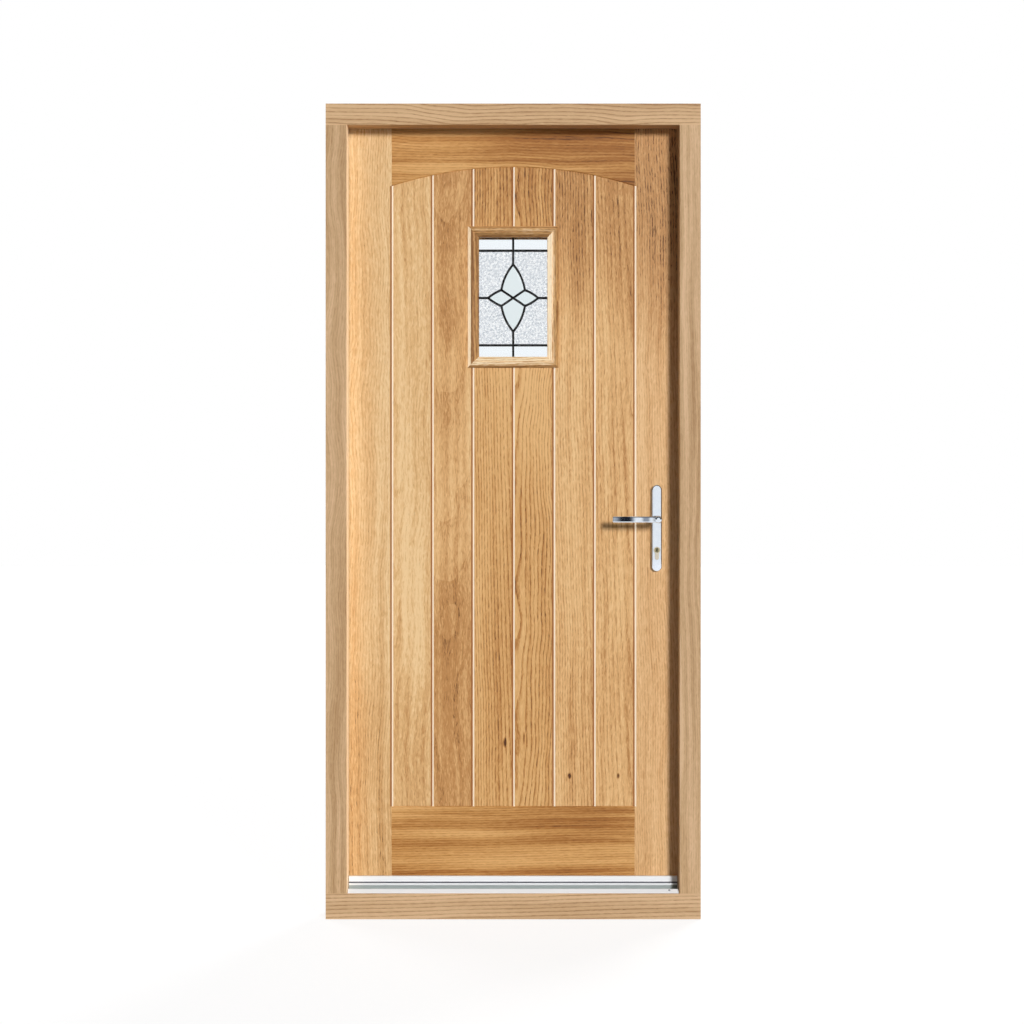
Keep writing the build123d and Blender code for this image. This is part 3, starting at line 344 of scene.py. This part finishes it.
pale_shades = (shade(244, 208, 156), shade(227, 183, 126), shade(198, 146, 90))
even_shades = (shade(242, 202, 146), shade(226, 178, 120), shade(190, 136, 80))
dark_shades = (shade(234, 188, 128), shade(217, 166, 104), shade(180, 122, 64))
# Each board: its shades, its heart, how strongly its rings show, and its marks. The marks at z 1.95 to
# 2.00 darken the top of the leaf as painted shade; the small ones are knots, the others darker patches
# of tone.
boards = (
    (pale_shades, (-0.30, 0.05), 0.3, [(-0.26, 0.42, 0.10, 0.24, 0.15)]),
    (even_shades, (-0.16, 0.30), 0.3, [(-0.13, 0.50, 0.12, 0.60, 0.35),
                                       (-0.15, 1.95, 0.12, 0.60, 0.35)]),
    (dark_shades, (0.03, 0.06), 0.9, [(-0.021, 0.439, 0.006, 0.016, 0.9),
                                      (-0.06, 1.95, 0.20, 0.40, 0.35),
                                      (-0.05, 0.45, 0.10, 0.40, 0.12)]),
    (dark_shades, (0.00, 0.06), 1.0, [(0.0276, 0.450, 0.003, 0.020, 0.7),
                                      (0.05, 1.95, 0.20, 0.40, 0.40),
                                      (0.05, 0.60, 0.10, 0.70, 0.12)]),
    (even_shades, (0.25, 0.06), 0.6, [(0.1435, 0.354, 0.006, 0.010, 0.8),
                                      (0.20, 2.00, 0.20, 0.60, 0.45),
                                      (0.16, 0.45, 0.20, 0.40, 0.15)]),
    (even_shades, (0.32, 0.09), 0.5, [(0.2676, 0.354, 0.005, 0.009, 0.8),
                                      (0.28, 2.00, 0.20, 0.60, 0.45),
                                      (0.26, 0.45, 0.20, 0.40, 0.15)]),
)
for number, (shades, heart, rings, marks) in enumerate(boards, 1):
    wood = oak(f"oak_board_{number}", shades, 8 + number, heart, rings=rings, marks=marks)
    wear(f"board_{number}", jointed(wood))


# Window beads: eight lengths of moulded oak, mitred at the corners and pinned to the leaf.
# Their outer lip laps over the boards. The grain runs along each length, and some slopes of
# the moulding are painted paler and some darker, as painted light from the upper left and painted
# shade.

bead_shades = (shade(253, 232, 196), shade(210, 162, 104), shade(140, 96, 54))
bead_low, bead_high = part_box("outside_bead_left")[0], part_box("outside_bead_right")[1]
bead_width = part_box("outside_bead_left")[1].x - bead_low.x
x_axis, z_axis = 0, 2
# Each bead's steps pale or darken its slopes across the moulding: painted light from the upper left
# and painted shade.
outside_beads = {
    "left": (x_axis, bead_low.x, 1, ((0.0, -0.4), (0.26, -0.4), (0.3, 0.4),
                                     (0.7, 0.3), (0.8, 0.45), (1.0, 0.5))),
    "right": (x_axis, bead_high.x, -1, ((0.0, 0.35), (0.3, 0.15), (0.5, 0.0),
                                        (0.62, -0.15), (0.9, -0.35), (1.0, 0.0))),
    "top": (z_axis, bead_high.z, -1, ((0.0, 0.15), (0.1, 0.2), (0.5, 0.0),
                                      (0.7, 0.1), (0.85, 0.3), (1.0, 0.35))),
    "bottom": (z_axis, bead_low.z, 1, ((0.0, 0.3), (0.2, 0.1), (0.4, 0.0),
                                       (0.6, 0.0), (0.75, -0.15), (1.0, -0.2))),
}
bead_heart = (0.4, 0.2)
for number, (side, (axis, start, direction, steps)) in enumerate(outside_beads.items(), 20):
    painted_relief = (axis, start, direction, bead_width, steps)
    wood = oak(f"oak_bead_{side}", bead_shades, number, bead_heart, across=axis == z_axis,
               sweep=0.01, dash=0.8, painted_relief=painted_relief)
    wear(f"outside_bead_{side}", wood)
inside_shades = (shade(240, 198, 142), shade(214, 163, 104), shade(172, 120, 66))
wear("inside_beads", oak("oak_inside_bead", inside_shades, 24, bead_heart, sweep=0.01))


# Glazing: a sealed unit of two clear panes, with spacer bars and a leaded panel between them.
# The four border strips are clear, the four pieces by the star are stippled, and the four
# pieces of the star are bevelled. The cames are lead, patinated black and soldered where they meet.


def glass(name, tint, roughness=0.0):
    sheet = Finish(name)
    sheet.set(Base_Color=tint, Roughness=roughness, Transmission_Weight=1.0, IOR=1.22)
    return sheet


clear = glass("clear_glass", shade(253, 254, 254))
for name in ("outer_pane", "inner_pane"):
    wear(name, clear)
wear("border_glass", glass("pale_blue_glass", shade(246, 250, 254)))
wear("bevel_glass", glass("bevelled_glass", shade(230, 238, 240), 0.02))

stippled = glass("stippled_glass", shade(240, 244, 246), 0.15)
grit = stippled.noise((190, 190, 190), 3, 0.75)
specks = stippled.mix(grit.clear_of(0.38, 0.6), shade(196, 202, 210), shade(254, 254, 255))
stippled.set(Base_Color=specks, Normal=stippled.bump(grit, 0.6, 0.001))
wear("textured_glass", stippled)

lead = Finish("black_lead")
scuff = lead.noise((300, 300, 300), 3, 0.6)
lead.set(Base_Color=lead.mix(scuff, shade(5, 5, 6), shade(18, 18, 20)), Roughness=scuff * 0.2 + 0.55)
lead.set(Specular_IOR_Level=0.15, Normal=lead.bump(scuff, 0.2, 0.0002))
wear("came_lattice", lead)

window_low, window_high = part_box("came_lattice")
window_middle = (window_low + window_high) / 2
solder_reach, solder_flatness = 0.0036, 0.1
meetings = [(0, 0.0856), (0, 0.121), (0.064, 0), (0.030, 0.0203)]
blobs = bmesh.new()
for x, z in {(a * p, b * q) for p, q in meetings for a in (-1, 1) for b in (-1, 1)}:
    for face_y in (window_low.y, window_high.y):
        blob = bmesh.ops.create_uvsphere(blobs, u_segments=12, v_segments=6, radius=solder_reach)
        squash = Matrix.Diagonal((1, solder_flatness, 1, 1))
        spot = Matrix.Translation((window_middle.x + x, face_y, window_middle.z + z))
        bmesh.ops.transform(blobs, matrix=spot @ squash, verts=blob["verts"])
solder_mesh = bpy.data.meshes.new("solder_joints")
blobs.to_mesh(solder_mesh)
blobs.free()
solder_mesh.materials.append(lead.made)
solder = bpy.data.objects.new("solder_joints", solder_mesh)
bpy.context.scene.collection.objects.link(solder)
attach(solder, "leaf")

bar = Finish("spacer_aluminium")
rolled = bar.noise((40, 40, 900), 2, 0.5)
bar.set(Base_Color=bar.mix(rolled, shade(196, 200, 204), shade(226, 228, 230)), Metallic=1.0)
bar.set(Roughness=rolled * 0.15 + 0.3)
wear("spacer_bars", bar)


# Threshold: an aluminium extrusion screwed down on the sill, mill finished and brushed along
# its length. Its channel and the recess behind its upstand are darkened with painted shade,
# unevenly in the channel. Its rubber seal, and those of the frame, are pushed into grooves.

recess_floor, recess_top, upstand_y = 0.0831, 0.0875, -0.0088
channel_front, channel_back, channel_lip = -0.0356, -0.0104, 0.0782
soft = 0.0004
brushed = Finish("brushed_aluminium")
lines = brushed.noise((6, 1800, 1800), 3, 0.6)
uneven_shade = brushed.noise((30, 300, 300), 2, 0.6) * 0.2 + 0.8
depth, up = brushed.split(brushed.here())[1:]
under_lip = 1 - up.clear_of(channel_lip, channel_lip + soft)
channel_shade = depth.between(channel_front, channel_back, soft) * under_lip
recess_shade = depth.clear_of(upstand_y, upstand_y + soft) * up.between(recess_floor, recess_top, soft)
metal = brushed.mix(lines, shade(236, 240, 244), shade(254, 254, 254))
# Painted shade: grey in the channel under the lip, dark grey in the recess behind the upstand.
metal = brushed.mix(channel_shade * uneven_shade, metal, shade(150, 160, 158))
metal = brushed.mix(recess_shade, metal, shade(84, 86, 98))
brushed.set(Base_Color=metal, Metallic=0.1, Roughness=lines * 0.15 + 0.4)
brushed.set(Normal=brushed.bump(lines, 0.1, 0.0002))
wear("threshold_bar", brushed)

head_sides = 16
rim_sunk, rim_proud = 0.12, 0.024
crown_inset, crown_rise = 0.3, 0.12
cross_depth, cross_half_width, cross_reach = 0.16, 0.13, 0.55


def crown(head):
    """The flat faces on top of a screw head."""
    facing_up = [face for face in head.faces if face.normal.z > 0.99]
    return [face for face in facing_up if face.calc_center_median().z > rim_proud + crown_rise / 2]


def screw_heads(name, body, finish, radius, facing, places):
    """Raised countersunk heads with a cross recess, drawn with a radius of 1 and then scaled."""
    head = bmesh.new()
    bmesh.ops.create_circle(head, cap_ends=True, segments=head_sides, radius=1)
    bmesh.ops.translate(head, vec=(0, 0, -rim_sunk), verts=head.verts)
    pulled = bmesh.ops.extrude_face_region(head, geom=head.faces[:])["geom"]
    rim = [part for part in pulled if isinstance(part, bmesh.types.BMVert)]
    bmesh.ops.translate(head, vec=(0, 0, rim_sunk + rim_proud), verts=rim)
    top = [face for face in head.faces if face.calc_center_median().z > rim_proud / 2]
    bmesh.ops.inset_region(head, faces=top, thickness=crown_inset, depth=crown_rise)

    for axis in (Vector((1, 0, 0)), Vector((0, 1, 0))):
        for cut in (-cross_reach, -cross_half_width, cross_half_width, cross_reach):
            near = crown(head)
            near += list({edge for face in near for edge in face.edges})
            near += list({vert for face in crown(head) for vert in face.verts})
            bmesh.ops.bisect_plane(head, geom=near, dist=0.0001, plane_co=axis * cut, plane_no=axis)
            head.normal_update()
    cross = []
    for face in crown(head):
        x, y = face.calc_center_median().xy
        if min(abs(x), abs(y)) < cross_half_width and max(abs(x), abs(y)) < cross_reach:
            cross.append(face)
    pushed = bmesh.ops.extrude_face_region(head, geom=cross)["geom"]
    bottom = [part for part in pushed if isinstance(part, bmesh.types.BMVert)]
    bmesh.ops.delete(head, geom=cross, context="FACES_ONLY")
    bmesh.ops.translate(head, vec=(0, 0, -cross_depth), verts=bottom)
    bmesh.ops.remove_doubles(head, verts=head.verts, dist=0.001)
    bmesh.ops.recalc_face_normals(head, faces=head.faces)
    pattern = bpy.data.meshes.new(name + "_head")
    head.to_mesh(pattern)
    head.free()

    turn = Vector(facing).to_track_quat("Z", "Y").to_matrix().to_4x4()
    row = bmesh.new()
    for place in places:
        before = len(row.verts)
        row.from_mesh(pattern)
        row.verts.ensure_lookup_table()
        matrix = Matrix.Translation(place) @ turn @ Matrix.Scale(radius, 4)
        bmesh.ops.transform(row, matrix=matrix, verts=row.verts[before:])
    bpy.data.meshes.remove(pattern)
    mesh = bpy.data.meshes.new(name)
    row.to_mesh(mesh)
    row.free()
    mesh.materials.append(finish.made)
    piece = bpy.data.objects.new(name, mesh)
    bpy.context.scene.collection.objects.link(piece)
    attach(piece, body)


stainless = Finish("stainless_screws")
polish = stainless.noise((900, 900, 900), 2, 0.5)
stainless.set(Base_Color=stainless.mix(polish, shade(120, 122, 126), shade(168, 170, 174)))
stainless.set(Metallic=1.0, Roughness=polish * 0.2 + 0.25)
screw_spacing, channel_middle, channel_floor = 0.190, -0.023, 0.069
places = [(number * screw_spacing, channel_middle, channel_floor) for number in range(-2, 3)]
screw_heads("threshold_screws", "frame", stainless, 0.0032, (0, 0, 1), places)
apron_facing, apron_place = (0, -0.735, 0.679), (0.394, -0.0393, 0.0717)
screw_heads("apron_screw", "frame", stainless, 0.0026, apron_facing, [apron_place])

rubber = Finish("seal_rubber")
dull = rubber.noise((200, 200, 200), 3, 0.6)
rubber.set(Base_Color=rubber.mix(dull, shade(32, 31, 30), shade(52, 50, 48)))
rubber.set(Roughness=dull * 0.2 + 0.6)
for name in ("threshold_seal", "head_seal", "hinge_jamb_seal", "lock_jamb_seal"):
    wear(name, rubber)


# Handles: a die-cast plate and lever on each face, polished and chrome plated, and clamped
# together through the stile. A nickel-plated brass cylinder stands out of each plate under its
# lever, and the slot of its keyway is painted dark in the plug, as painted shade.

chrome = Finish("polished_chrome")
haze = chrome.noise((70, 70, 70), 3, 0.6)
chrome.set(Base_Color=chrome.mix(haze, shade(214, 224, 236), shade(236, 242, 248)), Metallic=1.0)
chrome.set(Roughness=haze * 0.04 + 0.03)
chrome_nodes = ("outside_handle_plate", "inside_handle_plate", "outside_lever", "inside_lever")
for name in chrome_nodes:
    wear(name, chrome)


def nickel(name, dark, bright):
    metal = Finish(name)
    turned = metal.noise((900, 60, 900), 2, 0.5)
    metal.colour = metal.mix(turned, dark, bright)
    return metal.set(Base_Color=metal.colour, Metallic=1.0, Roughness=turned * 0.2 + 0.22)


wear("cylinder_body", nickel("nickel_body", shade(186, 178, 160), shade(214, 206, 190)))
plug = nickel("nickel_plug", shade(120, 112, 82), shade(170, 162, 128))
plug_low, plug_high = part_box("cylinder_plugs")
plug_x, plug_z = (plug_low.x + plug_high.x) / 2, 0.929
slot_half_width, slot_bottom, slot_top, slot_edge = 0.0013, -0.0030, 0.0049, 0.0004
# The keyway slot is painted near black, as painted shade in the slot.
x, up = plug.split(plug.here())[::2]
beside = (x - plug_x).size().clear_of(slot_half_width, slot_half_width + slot_edge)
keyway_shade = (1 - beside) * (up - plug_z).between(slot_bottom, slot_top, slot_edge)
plug.set(Base_Color=plug.mix(keyway_shade, plug.colour, shade(18, 17, 15)))
wear("cylinder_plugs", plug)


# Steel: butt hinges, faceplate, lock, bolts, hooks and keeps, and the screws that hold them.
# All are bright zinc plated, with the fine lines of rolled strip. The flaps, the faceplate and
# the keeps are let in flush, with their screws' heads just proud.

steel = Finish("zinc_plated_steel")
rolled = steel.noise((700, 700, 25), 3, 0.6)
blotch = steel.noise((45, 45, 45), 3, 0.6)
dull_or_bright = rolled * 0.5 + blotch * 0.5
steel.set(Base_Color=steel.mix(dull_or_bright, shade(170, 174, 178), shade(212, 214, 216)))
steel.set(Metallic=1.0, Roughness=rolled * 0.15 + blotch * 0.15 + 0.2)
for name in ("hinge_jamb_flaps", "hinge_leaf_flaps", "hinge_pins", "lock_faceplate", "cylinder_screw",
             "drive_strip", "lock_case", "hook_cases", "hook_pivots", "bottom_hook", "top_hook",
             "latch_bolt", "deadbolt", "lock_follower", "centre_keep", "bottom_hook_keep",
             "top_hook_keep", "handle_screws", "spindle"):
    wear(name, steel)

pins_low, pins_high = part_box("hinge_pins")
pin_x, flap_gap, half_pin = -0.429, 0.0015, 0.053
hinge_middles = (pins_low.z + half_pin, (pins_low.z + pins_high.z) / 2, pins_high.z - half_pin)
flap_holes = ((0.025, -0.034), (0.037, 0.0), (0.025, 0.034))
for name, body, direction in (("hinge_jamb_screws", "frame", 1), ("hinge_leaf_screws", "leaf", -1)):
    flap_x = pin_x - direction * flap_gap
    places = [(flap_x, y, z + rise) for z in hinge_middles for y, rise in flap_holes]
    screw_heads(name, body, steel, 0.0040, (direction, 0, 0), places)

plate_low, plate_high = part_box("lock_faceplate")
plate_y = (plate_low.y + plate_high.y) / 2
plate_holes = (0.172, 0.340, 0.600, 0.800, 1.180, 1.400, 1.740, 1.908)
places = [(plate_high.x, plate_y, z) for z in plate_holes]
screw_heads("faceplate_screws", "leaf", steel, 0.0038, (1, 0, 0), places)

keep_margin = 0.011
places = []
for name in ("centre_keep", "bottom_hook_keep", "top_hook_keep"):
    low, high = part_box(name)
    places += [(low.x, plate_y, low.z + keep_margin), (low.x, plate_y, high.z - keep_margin)]
screw_heads("keep_screws", "frame", steel, 0.0038, (-1, 0, 0), places)


# Studio: a pale floor, large soft lamps and a white surround, which polished metal sees striped.
# The key lamp throws the frame's shadow on the leaf. Low side lamps reach only the leaf's V
# joints or the frame. The camera stands 4.5 m in front of the door at half its height.

scene = bpy.context.scene
scene.view_settings.view_transform = "Standard"
black, white = (0, 0, 0, 1), (1, 1, 1, 1)


def ray_kinds(finish):
    """Whether the camera, a shiny face or clear glass is looking, each as 0 or 1."""
    kinds = ("Is Camera Ray", "Is Glossy Ray", "Is Transmission Ray")
    return [finish.add("LightPath", output=kind) for kind in kinds]


floor_mesh = bpy.data.meshes.new("floor")
disc = bmesh.new()
bmesh.ops.create_circle(disc, cap_ends=True, segments=96, radius=30)
disc.to_mesh(floor_mesh)
disc.free()
floor = bpy.data.objects.new("floor", floor_mesh)
scene.collection.objects.link(floor)
pale_floor = Finish("pale_floor")
seen, glossy, through = ray_kinds(pale_floor)
glow = pale_floor.mix(seen.either(glossy.either(through)), black, white)
pale_floor.set(Base_Color=shade(124, 124, 125), Roughness=0.9)
pale_floor.set(Emission_Color=glow, Emission_Strength=0.84)
floor_mesh.materials.append(pale_floor.made)


def sun(name, azimuth, height, strength, spread):
    """A large far lamp. azimuth is counted from the front towards the right, in degrees."""
    lamp = bpy.data.lights.new(name, "SUN")
    lamp.energy = strength
    lamp.angle = math.radians(spread)
    holder = bpy.data.objects.new(name, lamp)
    around, up = math.radians(azimuth), math.radians(height)
    back = Vector((math.sin(around) * math.cos(up), -math.cos(around) * math.cos(up), math.sin(up)))
    holder.rotation_euler = back.to_track_quat("Z", "Y").to_euler()
    scene.collection.objects.link(holder)
    return holder


def light_only(lamp, lit, shading):
    """Keeps a lamp to some pieces, and lets only some pieces shade it."""
    for pieces, use in ((lit, "receiver_collection"), (shading, "blocker_collection")):
        group = bpy.data.collections.new(f"{lamp.name}_{use}")
        for piece in pieces:
            group.objects.link(piece)
        setattr(lamp.light_linking, use, group)


pieces = [piece for piece in scene.objects if piece.type == "MESH"]
polished = [nodes[name] for name in chrome_nodes]
unpolished = [piece for piece in pieces if piece not in polished]
on_leaf = [piece for piece in unpolished if piece.get("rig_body") == "leaf"]
on_frame = [piece for piece in unpolished if piece.get("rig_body") == "frame"]
light_only(sun("key_lamp", 27, 16, 2.75, 14), unpolished, pieces)
light_only(sun("edge_lamp", -88, 8, 2.0, 10), on_leaf, [nodes["latch_bolt"]])
light_only(sun("reveal_lamp", 86, 6, 1.7, 15), on_frame, on_frame)
light_only(sun("left_lamp", -100, 18, 1.8, 25), on_frame, pieces)
sun("back_lamp", 152, 28, 1.7, 25)
sun("back_left_lamp", -140, 22, 1.1, 30)

# What polished metal sees: bands by their angle from the front, and a dark low sky above them.
world = bpy.data.worlds.new("studio")
scene.world = world
air = Finish("studio", world)
for node in list(air.tree.nodes):
    air.tree.nodes.remove(node)
seen, glossy, through = ray_kinds(air)
right, forward, up = air.split(air.add("TexCoord", output="Generated"))
angle = air.maths("ARCTAN2", right, 0 - forward) / math.pi * 180
dim, dark = (0.32, 0.34, 0.38, 1), (0.015, 0.018, 0.025, 1)
bands = ((-60, white), (-45, dark), (-14, dark), (-12, white), (-8, dim), (-6, dark), (-0.8, dark),
         (0.6, dim), (1.8, white), (5.4, white), (6.2, dim), (9, dim), (10, white), (11, white),
         (13, dark), (45, dark), (60, white))
mirrored = air.ramp((angle + 90) / 180, [((turn + 90) / 180, tint) for turn, tint in bands])
low_sky = up.clear_of(0.035, 0.06) * (1 - up.clear_of(0.55, 0.75))
around_it = air.mix(glossy, (0.08, 0.08, 0.082, 1), air.mix(low_sky, mirrored, dark))
colour = air.mix(seen.either(through), around_it, white)
sky = air.add("Background", inputs={"Color": colour, "Strength": 1.0})
output = air.tree.nodes.new("ShaderNodeOutputWorld")
air.tree.links.new(sky.socket, output.inputs[0])

camera = bpy.data.objects.new("camera", bpy.data.cameras.new("camera"))
camera.location = (-0.003, -4.547, 1.026)
camera.rotation_euler = (math.pi / 2, 0, 0)
camera.data.lens = 62.8
scene.collection.objects.link(camera)
scene.camera = camera
